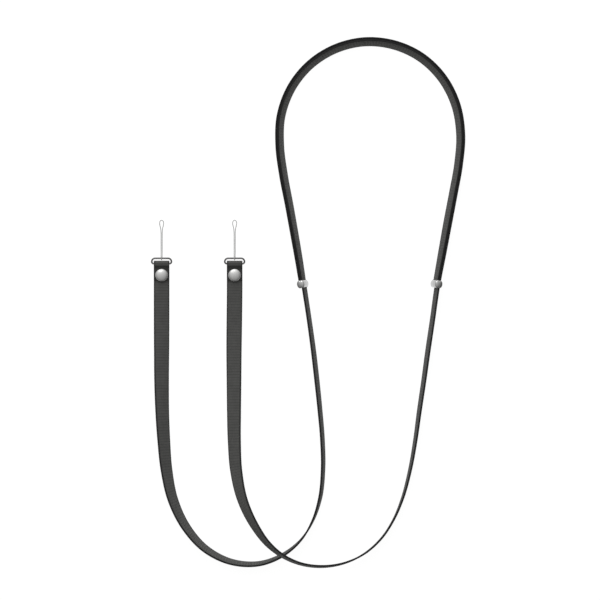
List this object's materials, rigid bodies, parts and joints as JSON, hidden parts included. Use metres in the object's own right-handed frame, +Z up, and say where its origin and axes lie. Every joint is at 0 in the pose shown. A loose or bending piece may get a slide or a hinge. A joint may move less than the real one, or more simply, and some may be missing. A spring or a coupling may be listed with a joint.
{
  "type": "phone crossbody strap",
  "caption": "Slim two-part woven crossbody strap with steel sliders, snap-fastened wire rings and thin cord loops, laid out in a long teardrop loop with crossed ends.",
  "frame": {"origin": "on the surface that the strap lies on, under the middle of its laid outline without the cord loops", "axes": "+Y along the laid strap, from its crossed ends towards the doubled top of the loop; +X from the leg pair towards the loop; +Z up, out of the surface"},
  "size_m": [0.2582, 0.436, 0.0262],
  "materials": {
    "charcoal_webbing": "matte woven",
    "polished_steel": "polished",
    "satin_steel": "satin",
    "grey_cord": "matte braided"
  },
  "bodies": {
    "root": {"strap_inner": "charcoal_webbing", "strap_outer": "charcoal_webbing", "ring_left": "polished_steel", "ring_right": "polished_steel", "snap_left": "satin_steel", "snap_right": "satin_steel", "slider_left": "polished_steel", "slider_right": "polished_steel", "tether_left": "grey_cord", "tether_right": "grey_cord"}
  },
  "joints": []
}
